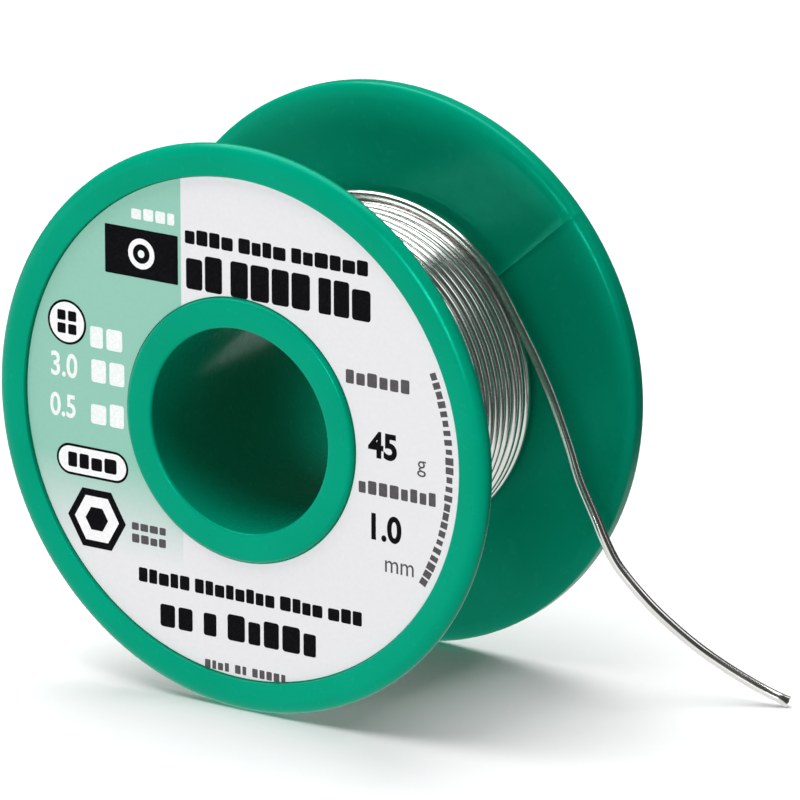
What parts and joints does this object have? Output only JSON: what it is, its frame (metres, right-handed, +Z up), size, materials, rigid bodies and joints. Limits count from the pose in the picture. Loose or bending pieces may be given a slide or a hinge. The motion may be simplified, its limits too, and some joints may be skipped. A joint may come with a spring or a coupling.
{
  "type": "solder wire spool",
  "caption": "Moulded plastic reel with wide round flanges and an open bore, wound with thin bright solder wire whose free end bends down past the rim and rests on the table.",
  "frame": {"origin": "on the ground under the middle of the spool, which stands on its two rims", "axes": "+Y along the spool's axis from the label face to the rear face, +Z up, +X towards the wire's free end"},
  "size_m": [0.071, 0.0299, 0.0555],
  "materials": {
    "green_plastic": "gloss",
    "label_paper": "satin",
    "solder_wire": "polished",
    "rosin_flux": "gloss"
  },
  "bodies": {
    "spool": {"reel": "green_plastic", "front_label": "label_paper", "wire_layer_1": "solder_wire", "wire_layer_2": "solder_wire", "wire_layer_3": "solder_wire", "wire_layer_4": "solder_wire", "start_end": "solder_wire"},
    "free_wire": {"last_turn": "solder_wire", "flux_core": "rosin_flux", "free_end": "solder_wire"}
  },
  "joints": [
    {"name": "wire_payout", "type": "hinge", "parent": "spool", "child": "free_wire", "pos_m": [0, 0.01028, 0.02775], "axis": [0, -1, 0], "range_deg": [0, 180]}
  ]
}
